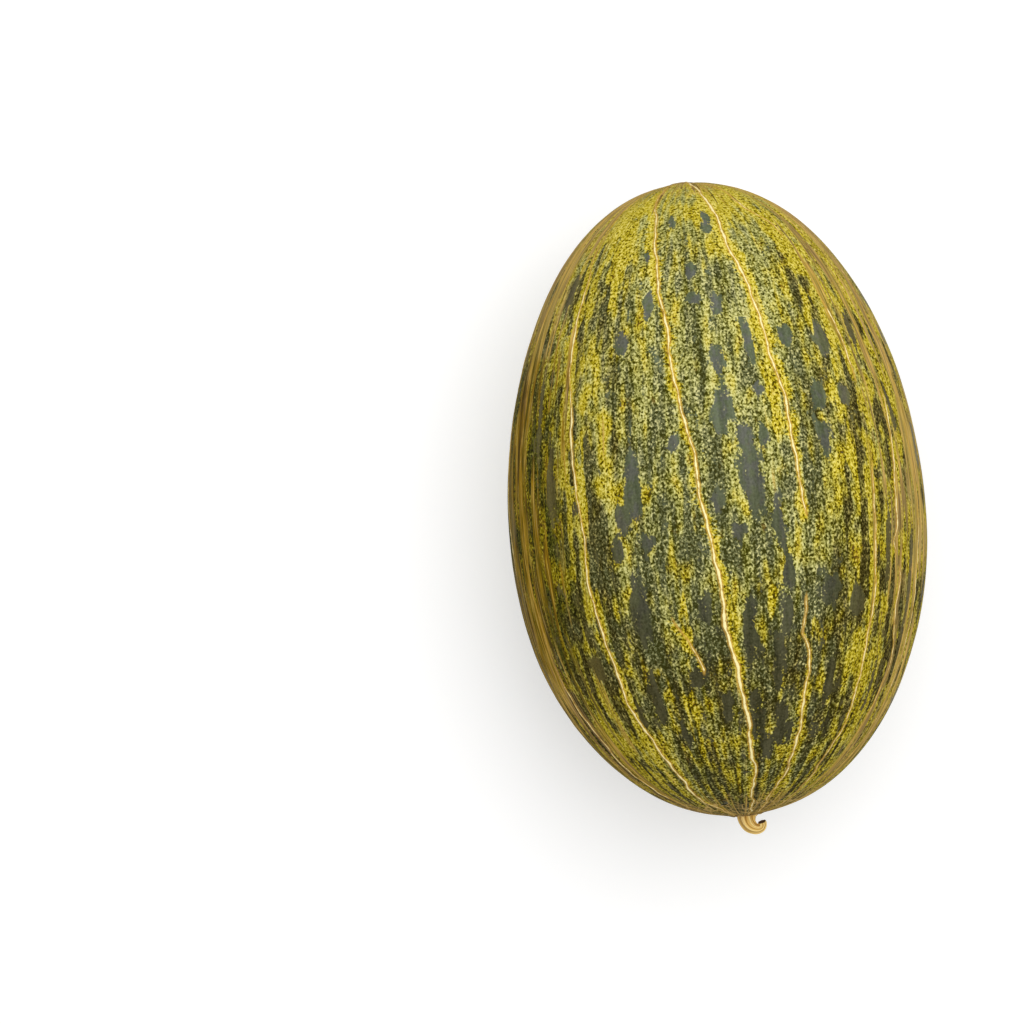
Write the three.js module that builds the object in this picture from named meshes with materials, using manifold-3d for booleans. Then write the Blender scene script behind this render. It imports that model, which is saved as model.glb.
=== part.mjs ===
// A piel de sapo melon, picked with a stub of its stalk, lying on the flat spot that it grew on.
//
// Millimetres, +Z up. The long axis runs along Y, with the stalk at the -Y end and the blossom scar
// at the +Y end. The origin is the middle of the flat spot, on the surface that the melon rests on.
// There are two pieces: the fruit, which is one solid ovoid, and the stalk, which dries to a
// ridged hook and stands on the fruit's end.

import * as THREE from "three";
import { mergeVertices } from "three/addons/utils/BufferGeometryUtils.js";
import Module from "manifold-3d";

const wasm = await Module();
wasm.setup();

// Driving dimensions of the fruit.
const FRUIT_LENGTH = 253; // from end to end, without the stalk and the scar
const FRUIT_WIDTH = 165.8; // across the middle of its length
const STALK_HALF_SWELL = 0.062; // how much fuller than an ellipse the stalk half is
const BOTH_ENDS_SWELL = 0.02; // how much fuller both ends are
const END_TAPER = 0.033; // how much of that the stalk end loses again, and the blossom end gains
const RIB_COUNT = 10;
const RIB_HEIGHT = 0.7; // from the crest of a rib to the groove beside it, at mid length
const RIB_FADE = 40; // nearer than this to the long axis, the ribs die away
const REST_TILT = THREE.MathUtils.degToRad(2.8); // the fuller stalk end rides higher
const SPOT_DEPTH = 1.8; // how far the ground pressed the flat spot in

// The blossom scar, a low corky button near the far end's middle.
const SCAR_RADIUS = 4.6;
const SCAR_HEIGHT = 0.8;
const SCAR_OFFSET = -2; // along X from the fruit's long axis

// The stalk: the four points that draw its middle line as a Bezier curve, from inside the fruit to
// its cut tip, counted from the middle of the fruit's end, and its radius.
const STALK_HOOK = [
  [2.3, 2.5, 0.0],
  [-1.6, -6.1, 0.3],
  [8.4, -8.1, 0.9],
  [7.0, -3.3, 2.4],
];
const STALK_RADIUS = 4.2; // at the fruit
const STALK_TIP_RADIUS = 1.5;
const STALK_FLARE = 1.2; // how far its foot spreads on the fruit
const STALK_FLARE_SHARE = 0.2; // of its length
const STALK_RIDGES = 7;
const STALK_RIDGE_SHARE = 0.07; // a ridge's height as a share of the radius
const TOUCH_GAP = 0.3; // between the stalk's foot and the fruit

// How finely the surfaces are divided.
const FRUIT_SIDES = 6 * RIB_COUNT;
const FRUIT_RINGS = 40;
const RING_CROWDING = 0.7; // how much closer the rings stand at the two ends, from 0 to 1
const STALK_SIDES = 4 * STALK_RIDGES;
const STALK_RINGS = 18;

// A solid of the boolean library from a closed three.js geometry.
function toSolid(geometry) {
  const bare = geometry.clone();
  bare.deleteAttribute("normal");
  bare.deleteAttribute("uv");
  const merged = mergeVertices(bare, 1e-4);
  return new wasm.Manifold(
    new wasm.Mesh({
      numProp: 3,
      vertProperties: merged.attributes.position.array,
      triVerts: new Uint32Array(merged.index.array),
    }),
  );
}

// A three.js geometry from a solid.
function toGeometry(solid) {
  const mesh = solid.getMesh();
  const geometry = new THREE.BufferGeometry();
  geometry.setAttribute("position", new THREE.BufferAttribute(mesh.vertProperties, 3));
  geometry.setIndex(new THREE.BufferAttribute(mesh.triVerts, 1));
  geometry.computeVertexNormals();
  return geometry;
}

// The fruit's radius without ribs, where share runs from -1 at the stalk to 1 at the other end.
function fruitRadius(share) {
  const stalkHalf = STALK_HALF_SWELL * -share;
  const bothEnds = BOTH_ENDS_SWELL * share ** 2;
  const taper = END_TAPER * share ** 3;
  const ellipse = (FRUIT_WIDTH / 2) * Math.sqrt(Math.max(0, 1 - share ** 2));
  return ellipse * (1 + stalkHalf + bothEnds + taper);
}

// The fruit's outside grown by grow, its long axis along Y through the origin.
function fruitGeometry(grow = 0) {
  const outline = [];
  for (let i = 0; i <= FRUIT_RINGS; i++) {
    const u = i / FRUIT_RINGS;
    const turn = Math.PI * (u - (RING_CROWDING * Math.sin(2 * Math.PI * u)) / (2 * Math.PI));
    const share = -Math.cos(turn);
    const atEnd = i === 0 || i === FRUIT_RINGS;
    const radius = atEnd ? 0 : fruitRadius(share) + grow * Math.sin(turn);
    outline.push(new THREE.Vector2(radius, (FRUIT_LENGTH / 2 + grow) * share));
  }
  const geometry = new THREE.LatheGeometry(outline, FRUIT_SIDES);
  const position = geometry.attributes.position;
  for (let i = 0; i < position.count; i++) {
    const x = position.getX(i);
    const y = position.getY(i);
    const z = position.getZ(i);
    const crest = Math.cos(RIB_COUNT * Math.atan2(x, z));
    const fade = Math.min(1, Math.hypot(x, z) / RIB_FADE);
    const scale = 1 + ((RIB_HEIGHT / FRUIT_WIDTH) * crest * fade);
    const fromScar = Math.hypot(x - SCAR_OFFSET, z) / SCAR_RADIUS;
    const scar = y > 0 ? SCAR_HEIGHT * Math.exp(-(fromScar ** 4)) : 0;
    position.setXYZ(i, x * scale, y + scar, z * scale);
  }
  return geometry;
}

// The stalk's outside: a cylinder laid along the hook, with its ridges and its spread foot.
function stalkGeometry() {
  const points = STALK_HOOK.map(([x, y, z]) => new THREE.Vector3(x, y - FRUIT_LENGTH / 2, z));
  const route = new THREE.CubicBezierCurve3(...points);
  const frames = route.computeFrenetFrames(STALK_RINGS);
  const geometry = new THREE.CylinderGeometry(1, 1, 1, STALK_SIDES, STALK_RINGS);
  const position = geometry.attributes.position;
  const place = new THREE.Vector3();
  for (let i = 0; i < position.count; i++) {
    const along = 0.5 - position.getY(i);
    const ring = Math.round(along * STALK_RINGS);
    const x = position.getX(i);
    const z = position.getZ(i);
    const ridge = 1 + STALK_RIDGE_SHARE * Math.cos(STALK_RIDGES * Math.atan2(x, z));
    const foot = STALK_FLARE * Math.exp(-((along / STALK_FLARE_SHARE) ** 2));
    const radius = THREE.MathUtils.lerp(STALK_RADIUS, STALK_TIP_RADIUS, along) + foot;
    route.getPointAt(along, place);
    place.addScaledVector(frames.normals[ring], x * radius * ridge);
    place.addScaledVector(frames.binormals[ring], z * radius * ridge);
    position.setXYZ(i, place.x, place.y, place.z);
  }
  return geometry;
}

// Turns the melon to how it lies and lowers it until the floor would press the flat spot in.
const lie = new THREE.Matrix4().makeRotationX(-REST_TILT);
const lowest = fruitGeometry().applyMatrix4(lie);
lowest.computeBoundingBox();
lie.premultiply(
  new THREE.Matrix4().makeTranslation(0, 0, -lowest.boundingBox.min.z - SPOT_DEPTH),
);

function buildFruit() {
  const ground = new THREE.BoxGeometry(2 * FRUIT_LENGTH, 2 * FRUIT_LENGTH, FRUIT_LENGTH);
  ground.translate(0, 0, -FRUIT_LENGTH / 2);
  const whole = toSolid(fruitGeometry().applyMatrix4(lie));
  return toGeometry(whole.subtract(toSolid(ground)));
}

function buildStalk() {
  const clearance = toSolid(fruitGeometry(TOUCH_GAP).applyMatrix4(lie));
  const whole = toSolid(stalkGeometry().applyMatrix4(lie));
  return toGeometry(whole.subtract(clearance));
}

// The middle of the flat spot, which becomes the origin.
function spotMiddle(geometry) {
  const position = geometry.attributes.position;
  const spot = new THREE.Box3();
  const point = new THREE.Vector3();
  for (let i = 0; i < position.count; i++) {
    point.fromBufferAttribute(position, i);
    if (Math.abs(point.z) < 1e-4) spot.expandByPoint(point);
  }
  return spot.getCenter(new THREE.Vector3());
}

const rind = new THREE.MeshStandardMaterial({ color: 0x888044, roughness: 0.5, metalness: 0 });
const dryStalk = new THREE.MeshStandardMaterial({ color: 0xbe8c3c, roughness: 0.8, metalness: 0 });

const fruit = new THREE.Mesh(buildFruit(), rind);
fruit.name = "fruit";

const stalk = new THREE.Mesh(buildStalk(), dryStalk);
stalk.name = "stalk";

const melon = new THREE.Group();
melon.add(fruit, stalk);
const middle = spotMiddle(fruit.geometry);
melon.position.set(-middle.x, -middle.y, 0);

export default melon;
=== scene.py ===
import math

import bmesh
import bpy
import numpy as np
from mathutils import Matrix, Vector


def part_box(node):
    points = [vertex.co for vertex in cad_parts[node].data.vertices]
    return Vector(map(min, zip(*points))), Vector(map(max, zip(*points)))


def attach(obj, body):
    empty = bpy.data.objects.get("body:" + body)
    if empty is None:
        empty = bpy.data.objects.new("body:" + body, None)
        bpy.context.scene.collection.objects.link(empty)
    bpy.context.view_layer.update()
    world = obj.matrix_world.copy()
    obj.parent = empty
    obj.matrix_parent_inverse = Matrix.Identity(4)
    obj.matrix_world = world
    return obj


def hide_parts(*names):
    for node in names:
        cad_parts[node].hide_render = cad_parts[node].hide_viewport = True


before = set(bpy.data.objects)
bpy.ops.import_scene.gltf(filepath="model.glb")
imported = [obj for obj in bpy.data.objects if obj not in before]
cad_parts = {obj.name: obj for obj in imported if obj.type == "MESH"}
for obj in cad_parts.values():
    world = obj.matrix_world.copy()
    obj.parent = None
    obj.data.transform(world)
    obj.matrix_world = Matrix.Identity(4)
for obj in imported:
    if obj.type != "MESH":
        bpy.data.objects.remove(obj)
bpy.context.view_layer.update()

# The fruit: one grown ovoid, firm and waxy outside. Its rind is stretched as it swells, so it heals
# in pale cork lines that run from end to end, and shallow ribs lie between them. The blossom left a
# corky button on the +Y end, and the ground pressed a small flat spot into the underside.
FRUIT_HALF_LENGTH = 0.1265
FRUIT_HALF_WIDTH = 0.0829
STALK_HALF_SWELL = 0.062  # how much fuller than an ellipse the stalk half is
BOTH_ENDS_SWELL = 0.02  # how much fuller both ends are
END_TAPER = 0.033  # how much of that the stalk end loses again, and the blossom end gains
REST_TILT = math.radians(2.8)  # the fuller stalk end rides higher
SPOT_SOFTNESS = 0.0006  # over this height the rind rounds into the flat spot
RIB_COUNT = 10
RIB_HEIGHT = 0.0007  # from the crest of a rib to the groove beside it
RIB_FADE = 0.04  # nearer than this to the long axis, the ribs die away
STALK_SWAY = 0.0005  # how far the stalk half bows out to -X
SCAR_RADIUS = 0.0046
SCAR_HEIGHT = 0.0008
SCAR_HOLLOW = 0.45  # how much of its height the scar loses again in its middle
SCAR_HOLLOW_SHARE = 0.35  # of the scar's radius
SCAR_OFFSET = -0.002  # along X from the fruit's long axis

# The cork lines, each as points of (share, turn, strength): share runs along the fruit from -1 at
# the stalk to 1 at the blossom scar, turn is in degrees round it from straight up towards +X, and
# strength says how much cork has grown there, where 0 is a line that has closed.
VISIBLE_CORK_LINES = [
    [(-1, -58, 0.4), (-0.9, -62, 0.8), (-0.8, -64.5, 0.9), (-0.6, -65.5, 0.8), (-0.5, -67, 0.5),
     (0, -68, 0.3), (0.5, -69, 0.3), (1, -68, 0.3)],
    [(-1, -28, 0.6), (-0.88, -33, 1), (-0.75, -36, 1), (-0.6, -38.5, 1), (-0.45, -40, 0.9),
     (-0.25, -41.5, 0.9), (-0.05, -42, 0.7), (0.1, -43.5, 1), (0.27, -45, 1.05),
     (0.36, -46, 0.4), (0.45, -46.5, 1), (0.6, -47.5, 0.9), (0.7, -48, 0.5), (1, -56, 0.3)],
    [(-1, -13, 0), (-0.7, -11, 0), (-0.56, -11.5, 0), (-0.53, -12, 0.7), (-0.45, -14.5, 0.7),
     (-0.38, -17.5, 0.4), (-0.35, -18, 0), (0, -24, 0), (0.5, -30, 0), (0.85, -37, 0), (1, -41, 0)],
    [(-1, 17, 0.8), (-0.995, 14, 0.8), (-0.97, 6, 0.8), (-0.9, 1.5, 0.9), (-0.82, 3, 1),
     (-0.74, 1.8, 1.15), (-0.6, -1, 1.2), (-0.4, -3.5, 1.15), (-0.15, -6, 1), (0.05, -8, 0.9),
     (0.3, -11.5, 0.8), (0.5, -14.5, 0.9), (0.7, -17.5, 0.9), (0.85, -22, 0.8), (1, -27, 0.3)],
    [(-1, 17, 0.6), (-0.95, 19, 0.7), (-0.8, 20, 0.9), (-0.68, 21, 0.9), (-0.5, 20, 0.8),
     (-0.45, 18, 0.7), (-0.35, 19, 0.6), (-0.31, 19.2, 0), (-0.12, 19.5, 0), (-0.08, 19.3, 0.8),
     (0.1, 18.5, 0.9), (0.3, 17.3, 0.9), (0.5, 15.5, 0.9), (0.7, 12, 1), (0.87, 9, 1),
     (0.97, 4, 0.9), (1, 2, 0.6)],
    [(-1, 36, 0.5), (-0.8, 40, 0.7), (-0.65, 41, 0.8), (-0.3, 42, 0.8), (0, 42, 0.7),
     (0.05, 42.3, 0.2), (0.27, 43, 0.2), (0.32, 43, 0.7), (0.5, 42, 0.9), (0.56, 42, 0.2),
     (0.75, 39, 0.2), (0.8, 38, 0.7), (0.87, 30, 0.7), (1, 24, 0.3)],
    [(-1, 48, 0.3), (-0.8, 54, 0.4), (-0.57, 57, 0.7), (-0.4, 54, 0.8), (-0.3, 55, 0.8),
     (-0.26, 53, 0), (-0.2, 50, 0.8), (-0.15, 52, 0.9), (0, 53, 0.9), (0.2, 55, 0.9),
     (0.3, 56, 0.2), (1, 50, 0.3)],
    [(-1, 62, 0.3), (-0.8, 64, 0.5), (-0.35, 65, 0.8), (-0.2, 65.5, 0.8), (0, 66, 0.4),
     (0.6, 67, 0.5), (0.9, 66, 0.5), (1, 64, 0.3)],
]
HIDDEN_CORK_LINES = [88, 110, 131, 152, 173, 194, 215, 236, 257, 275]  # their turns
HIDDEN_LINE_POINTS = 15
HIDDEN_LINE_DRIFT = 1.3  # in degrees from one point to the next
HIDDEN_LINE_STRENGTH = (0.65, 0.35)  # its middle value and its spread

# How the mesh is divided, and how a cork line stands out of it.
RINGS = 270
COLUMNS_PER_LINE = 20
CORK_COLUMNS = np.array([0.35, 0.7, 1.1, 1.8]) / 1000  # columns either side of a line's middle
CORK_SHARE_OF_GAP = 0.3  # the most of the way to the next line that they may take up
CORK_HALF_WIDTH = 0.0006
CORK_HEIGHT = 0.00032

chance = np.random.default_rng(7)


def hidden_cork_line(turn):
    """A cork line that drifts a little round the fruit, with closed stretches, at a given turn."""
    shares = np.linspace(-1, 1, HIDDEN_LINE_POINTS)
    turns = turn + np.cumsum(chance.normal(0, HIDDEN_LINE_DRIFT, shares.size))
    strengths = np.clip(chance.normal(*HIDDEN_LINE_STRENGTH, shares.size), 0, 1)
    return list(zip(shares, turns, strengths))


cork_lines = VISIBLE_CORK_LINES + [hidden_cork_line(turn) for turn in HIDDEN_CORK_LINES]
column_count = COLUMNS_PER_LINE * len(cork_lines)


def outline_radius(share):
    """The fruit's radius without ribs at a share of its half length."""
    ellipse = FRUIT_HALF_WIDTH * np.sqrt(np.maximum(0, 1 - share**2))
    swell = 1 - STALK_HALF_SWELL * share + BOTH_ENDS_SWELL * share**2 + END_TAPER * share**3
    return ellipse * swell


ring_shares = -np.cos(np.linspace(0, np.pi, RINGS + 1))
ring_radii = outline_radius(ring_shares)

# A drum along Y, ringed from end to end. The middles of its two caps become the fruit's poles.
bm = bmesh.new()
bmesh.ops.create_cone(
    bm, segments=column_count, radius1=1, radius2=1, depth=1, cap_ends=True, cap_tris=True,
    matrix=Matrix.Rotation(-math.pi / 2, 4, "X"),
)
staves = [edge for edge in bm.edges if abs(edge.verts[0].co.y - edge.verts[1].co.y) > 0.5]
bmesh.ops.subdivide_edges(bm, edges=staves, cuts=RINGS - 3, use_grid_fill=True)
for face in bm.faces:
    face.smooth = True
rind_mesh = bpy.data.meshes.new("rind")
bm.to_mesh(rind_mesh)
bm.free()


def read_places(mesh):
    """The places of a mesh's vertices, one to a row."""
    places = np.zeros(len(mesh.vertices) * 3)
    mesh.vertices.foreach_get("co", places)
    return places.reshape(-1, 3)


places = read_places(rind_mesh)
rings = 1 + np.round((places[:, 1] + 0.5) * (RINGS - 2)).astype(int)
at_middle = np.hypot(places[:, 0], places[:, 2]) < 0.5
rings[at_middle] = np.where(places[at_middle, 1] < 0, 0, RINGS)
columns = np.round(np.arctan2(places[:, 0], places[:, 2]) / (2 * np.pi) * column_count).astype(int)
columns %= column_count

# The columns are drawn in towards the cork lines and follow them from end to end. Each line wobbles
# sideways, is lumpy, and has a golden halo that strays from it. Waves are (length, height).
LINE_WOBBLE = [(0.047, 0.0005), (0.026, 0.0003), (0.0117, 0.00018), (0.0063, 0.0001)]
LINE_STRENGTH = 0.85
LINE_LUMPS = [(0.019, 0.1), (0.0083, 0.1), (0.0041, 0.08)]
HALO_SWAY = [(0.31, 0.0011), (0.12, 0.0007)]
HALO_WIDTH = 0.0022
HALO_SPREAD = [(0.055, 0.0006), (0.021, 0.0004), (0.009, 0.0003)]
LEAST_RADIUS = 0.004  # nearer than this to the long axis, a wobble turns a line no further


def wander(along, waves):
    """A seeded wobble at each distance along a line."""
    parts = [
        height * np.sin(2 * np.pi * (along / length + chance.random()))
        for length, height in waves
    ]
    return sum(parts)


def grade(value, start, full):
    """0 up to start, 1 from full on, and a straight slope between them."""
    return np.clip((value - start) / (full - start), 0, 1)


ring_places = np.stack([ring_radii, FRUIT_HALF_LENGTH * ring_shares], axis=1)
ring_steps = np.linalg.norm(np.diff(ring_places, axis=0), axis=1)
ring_distances = np.concatenate([[0], np.cumsum(ring_steps)])
safe_radii = np.maximum(ring_radii, LEAST_RADIUS)
near_stalk = grade(-ring_shares, 0.6, 1)

line_turns = []
line_strengths = []
line_halos = []
for line in cork_lines:
    shares, turns, strengths = np.array(line, dtype=float).T
    wobble = wander(ring_distances, LINE_WOBBLE)
    turn = np.radians(np.interp(ring_shares, shares, turns))
    line_turns.append(turn + wobble * (1 + near_stalk) / safe_radii)
    lumps = LINE_STRENGTH + wander(ring_distances, LINE_LUMPS)
    strength = np.interp(ring_shares, shares, strengths) * np.clip(lumps, 0, 1.2)
    line_strengths.append(strength)
    side = wander(ring_distances, HALO_SWAY)
    width = HALO_WIDTH + wander(ring_distances, HALO_SPREAD)
    line_halos.append((side, width))
line_turns.append(line_turns[0] + 2 * np.pi)
line_strengths.append(line_strengths[0])
line_halos.append(line_halos[0])

column_turns = []
for middle, following in zip(line_turns, line_turns[1:]):
    gap = following - middle
    reach = np.minimum(1 / safe_radii, CORK_SHARE_OF_GAP * gap / CORK_COLUMNS[-1])
    beside = np.outer(reach, CORK_COLUMNS)
    filling = COLUMNS_PER_LINE - 1 - 2 * CORK_COLUMNS.size
    shares = np.arange(1, filling + 1) / (filling + 1)
    span = gap - 2 * beside[:, -1]
    between_lines = middle[:, None] + beside[:, -1:] + np.outer(span, shares)
    before_next = following[:, None] - beside[:, ::-1]
    column_turns += [middle[:, None], middle[:, None] + beside, between_lines, before_next]
column_turns = np.concatenate(column_turns, axis=1)

turns = column_turns[rings, columns]
radii = ring_radii[rings]
shares = ring_shares[rings]
distances = ring_distances[rings]

# What shows on the rind, each as a field with one value for every vertex. The spots and patches are
# (share, turn, half length, half width), lengths as shares and widths in degrees.
DARK_SPOTS = [
    (0.82, 3.5, 0.05, 2.6), (0.83, -12.5, 0.03, 1.8), (0.73, -21.5, 0.03, 1.6),
    (0.66, -5, 0.03, 2.6), (0.57, -20, 0.05, 1.8), (0.55, 2, 0.04, 2.2), (0.57, -5, 0.02, 2.4),
    (0.46, -28, 0.045, 2.6), (0.44, 10.5, 0.07, 1.9), (0.44, 22, 0.035, 2.2),
    (0.42, 34, 0.06, 2.6), (0.38, 0, 0.055, 2.3), (0.23, 0, 0.075, 3.1), (0.28, 11, 0.035, 1.8),
    (0.25, 28, 0.05, 1.8), (0.25, 36.5, 0.04, 1.8), (0.14, -14, 0.035, 2.4),
    (0.14, 11, 0.04, 1.6), (0.12, 28, 0.06, 2.2), (0.14, 5, 0.045, 2.3), (0.02, -25.5, 0.11, 2.5),
    (0.02, 6.2, 0.11, 3.6), (-0.02, -44, 0.03, 2.2), (-0.04, -3.5, 0.035, 1.7),
    (-0.13, 1.5, 0.025, 2.2), (-0.16, 13, 0.055, 1.7), (-0.16, -31, 0.05, 2.4),
    (-0.14, -22, 0.03, 2), (-0.07, -29, 0.05, 2.2), (-0.33, -27, 0.12, 2.9), (-0.35, -9, 0.055, 1.8),
    (-0.42, 3, 0.12, 2.6), (-0.38, 13, 0.07, 2.3), (-0.33, 26, 0.055, 2.8),
    (-0.36, 35, 0.05, 2.6), (-0.5, -46, 0.04, 3), (-0.55, -14, 0.04, 2.8), (-0.6, -28, 0.12, 2.2),
    (-0.64, -5, 0.05, 2.2), (-0.67, 4, 0.09, 2.8), (-0.59, 28.5, 0.08, 2), (-0.77, 8, 0.05, 3.4),
    (-0.74, 16, 0.05, 2.2), (-0.72, 31, 0.05, 2), (-0.72, -22, 0.05, 2.2), (-0.65, -37, 0.05, 2.6),
    (-0.1, 12, 0.09, 1.8), (-0.27, 14, 0.07, 2), (-0.52, 11, 0.1, 2.2), (-0.7, 13, 0.1, 3),
    (0.64, -55, 0.07, 2.4), (0.3, -58.5, 0.14, 1.4), (0.08, -53, 0.13, 1.6), (0.45, 49, 0.08, 1.6),
    (-0.2, 47.5, 0.14, 1.4), (-0.35, 60, 0.2, 1.3), (0.2, 58, 0.1, 1.2), (-0.6, 48, 0.15, 1.3),
]
YELLOW_PATCHES = [
    (0.25, -46.5, 0.4, 2.2), (-0.05, -40.5, 0.25, 1), (0.42, 14.5, 0.33, 2.3),
    (-0.04, 19, 0.08, 1.6), (-0.65, 21.5, 0.25, 1.4), (-0.9, 20, 0.06, 4), (0.07, 35.5, 0.1, 1.5),
    (-0.3, 41, 0.4, 1.6), (-0.2, 54.5, 0.45, 1.8), (0.55, 61, 0.45, 3.4), (-0.5, 64, 0.4, 2.2),
    (0.1, -68, 1.1, 4.6), (0.76, -34, 0.16, 4.2), (0.86, -40, 0.06, 4), (-0.58, -24, 0.14, 1.6),
    (-0.42, -15, 0.12, 1.3), (0.92, 8, 0.06, 3.5), (-0.78, -55, 0.14, 4.4), (0.74, 37, 0.13, 5),
    (-0.7, -18, 0.1, 1.5), (-0.35, 9, 0.06, 1.2), (-0.3, -40.5, 0.3, 1.8), (-0.62, -38, 0.15, 1.5),
]
# The same for the sides that are out of sight: their turns, the least and the most (half length,
# half width) of a spot or patch, and how many of the places along a turn have one.
HIDDEN_TURNS = range(74, 288, 7)
FIRST_HIDDEN_SHARES = (-0.95, -0.8)
LAST_HIDDEN_SHARE = 0.9
HIDDEN_GAPS = (0.03, 0.12)  # between one spot and the next, as shares
HIDDEN_SWAY = 1.2  # in degrees
HIDDEN_DARK_SIZES = ((0.03, 1.3), (0.1, 3))
HIDDEN_DARK_CHANCE = 0.55
HIDDEN_YELLOW_SIZES = ((0.06, 1), (0.3, 2.4))
HIDDEN_YELLOW_CHANCE = 0.3


def hidden_spots(sizes, chance_of_one):
    """Spots or patches along every hidden turn, one after another like beads on a string."""
    spots = []
    for turn in HIDDEN_TURNS:
        share = chance.uniform(*FIRST_HIDDEN_SHARES)
        while share < LAST_HIDDEN_SHARE:
            half_length, half_width = chance.uniform(*sizes)
            if chance.random() < chance_of_one:
                swayed = turn + chance.normal(0, HIDDEN_SWAY)
                spots.append((share, swayed, half_length, half_width))
            share += 2 * half_length + chance.uniform(*HIDDEN_GAPS)
    return spots


def closeness(spots):
    """How near each vertex is to a spot: 1 in its middle, a half on its edge and 0 well outside."""
    nearest = np.full(len(turns), np.inf)
    for share, turn, half_length, half_width in spots:
        across = (turns - math.radians(turn) + np.pi) % (2 * np.pi) - np.pi
        away = ((shares - share) / half_length) ** 2 + (across / math.radians(half_width)) ** 2
        nearest = np.minimum(nearest, away)
    return 1 / (1 + nearest**2)


dark = closeness(DARK_SPOTS + hidden_spots(HIDDEN_DARK_SIZES, HIDDEN_DARK_CHANCE))
yellow = closeness(YELLOW_PATCHES + hidden_spots(HIDDEN_YELLOW_SIZES, HIDDEN_YELLOW_CHANCE))

# Where each vertex lies: how many degrees from straight up, and how far into each end, into the
# stalk's half, down the flanks, and out to the right and the left above the belly.
from_top = np.degrees(np.arccos(np.cos(turns)))
on_left = np.sin(turns) < 0
stalk_end = grade(-shares, 0.88, 0.98)
blossom_end = grade(shares, 0.86, 0.98)
stalkward = grade(-shares, -0.25, 0.55)
flank = grade(from_top, 26, 48)
above_belly = grade(-from_top, -120, -90)
rightward = grade(np.sin(turns), 0.62, 0.92) * above_belly
leftward = grade(-np.sin(turns), 0.62, 0.87) * above_belly

# How near it is to the nearest cork line, and how far that line's golden halo reaches it. Towards
# the stalk the halos and the dark spots are smaller.
nearer_line = np.where(columns % COLUMNS_PER_LINE > COLUMNS_PER_LINE // 2, 1, 0)
line_numbers = columns // COLUMNS_PER_LINE + nearer_line
from_line = (turns - np.array(line_turns)[line_numbers, rings]) * radii
cork_strength = np.array(line_strengths)[line_numbers, rings]
cork_distance = np.abs(from_line)
halo_side, halo_width = np.array(line_halos)[line_numbers, :, rings].T
halo_width = halo_width * (1 - 0.25 * stalkward)
beside_line = np.exp(-(((from_line - halo_side) / halo_width) ** 2))
halo = beside_line * np.clip(cork_strength * 1.6, 0, 1) * (1 - 0.3 * grade(-shares, -0.1, 0.5))
dark *= 1 - 0.2 * stalkward

# Smooth tan rind shows along the flanks and at both ends. Towards the ends and the flanks the rind
# is more golden. The right flank and the upper left flank are painted lighter, as painted light, and
# the middle of the left flank is painted darker and more saturated, as painted shade.
sides = grade(from_top, 30 + 8 * on_left, 60 + 8 * on_left)
sides *= np.maximum(0.45, grade(-from_top, -120, -85))
tan = np.maximum(sides * (0.42 + 0.5 * beside_line), 0.6 * blossom_end + 0.68 * stalk_end)
tan += 0.1 * rightward + 0.24 * leftward**2
golden = np.maximum(grade(shares, 0.45, 0.9), 0.9 * grade(-shares, 0.1, 0.6))
golden = np.maximum(golden, grade(from_top, 12, 30) * (1 - 0.3 * on_left))
# Painted light: the right flank and the upper left flank, where light falls.
painted_flank_light = np.maximum(rightward, leftward * grade(shares, 0.4, 0.6))
# Painted shade: the middle of the left flank, where shade falls.
painted_left_shade = leftward * grade(-shares, -0.62, -0.27) * grade(shares, -0.65, -0.3)

# How strongly the flecks grow, and how much of their contrast is evened out.
vigour = 0.2 + 0.5 * grade(shares, 0.7, 0.95) - 0.25 * stalkward
# Painted light: on those flanks the flecks grow more, so that they look lighter.
vigour += 0.25 * painted_flank_light - 0.05 * grade(from_top, 18, 32)
vigour += 0.25 * grade(from_top, 18, 36) * grade(-shares, 0.3, 0.6)
calm = np.maximum(0.35 * grade(shares, 0.65, 0.95), 0.25 * flank)

# The rind's relief stands out along its normal: ribs, cork lines in shallow furrows, and the scar.
FURROW_DEPTH = 0.00035
FURROW_HALF_WIDTH = 0.0045
LUMP_COUNTS = (2, 3, 5, 7, 9)  # waves round the fruit
LUMP_HEIGHT = 0.00013
WRINKLE_COUNTS = (23, 31, 38, 47, 54)
WRINKLE_HEIGHT = 0.00003
STALK_OFFSET = 0.0015  # of the stalk's foot along X from the fruit's long axis
COLLAR_RADIUS = 0.0055
COLLAR_HALF_WIDTH = 0.0011
COLLAR_HEIGHT = 0.0005
LINE_SPACING = 0.05  # between the lines where their golden combs are drawn, so that all differ
SCAR_CORK_SHARE = 1.1  # how far the dry cork reaches, as a share of the scar's radius
STALK_CORK_RADIUS = 0.0075  # and round the stalk

steps = np.gradient(ring_places, axis=0)
steps /= np.linalg.norm(steps, axis=1, keepdims=True)
outward = np.stack([steps[:, 1], -steps[:, 0]], axis=1)[rings]

cork_bump = CORK_HEIGHT * cork_strength * np.exp(-((cork_distance / CORK_HALF_WIDTH) ** 2))
furrow = FURROW_DEPTH * np.exp(-((cork_distance / FURROW_HALF_WIDTH) ** 2))
rib = RIB_HEIGHT / 2 * np.cos(RIB_COUNT * turns) * np.minimum(1, radii / RIB_FADE)
across = radii * np.sin(turns)
upward = radii * np.cos(turns)
from_scar = np.hypot(across - SCAR_OFFSET, upward) / SCAR_RADIUS
from_scar[shares < 0] = np.inf
hollow = SCAR_HOLLOW * np.exp(-((from_scar / SCAR_HOLLOW_SHARE) ** 2))
scar = SCAR_HEIGHT * np.exp(-(from_scar**4)) * (1 - hollow)
from_stalk = np.hypot(across - STALK_OFFSET, upward)
from_stalk[shares > 0] = np.inf
collar = COLLAR_HEIGHT * np.exp(-(((from_stalk - COLLAR_RADIUS) / COLLAR_HALF_WIDTH) ** 2))
lumps = 0
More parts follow.
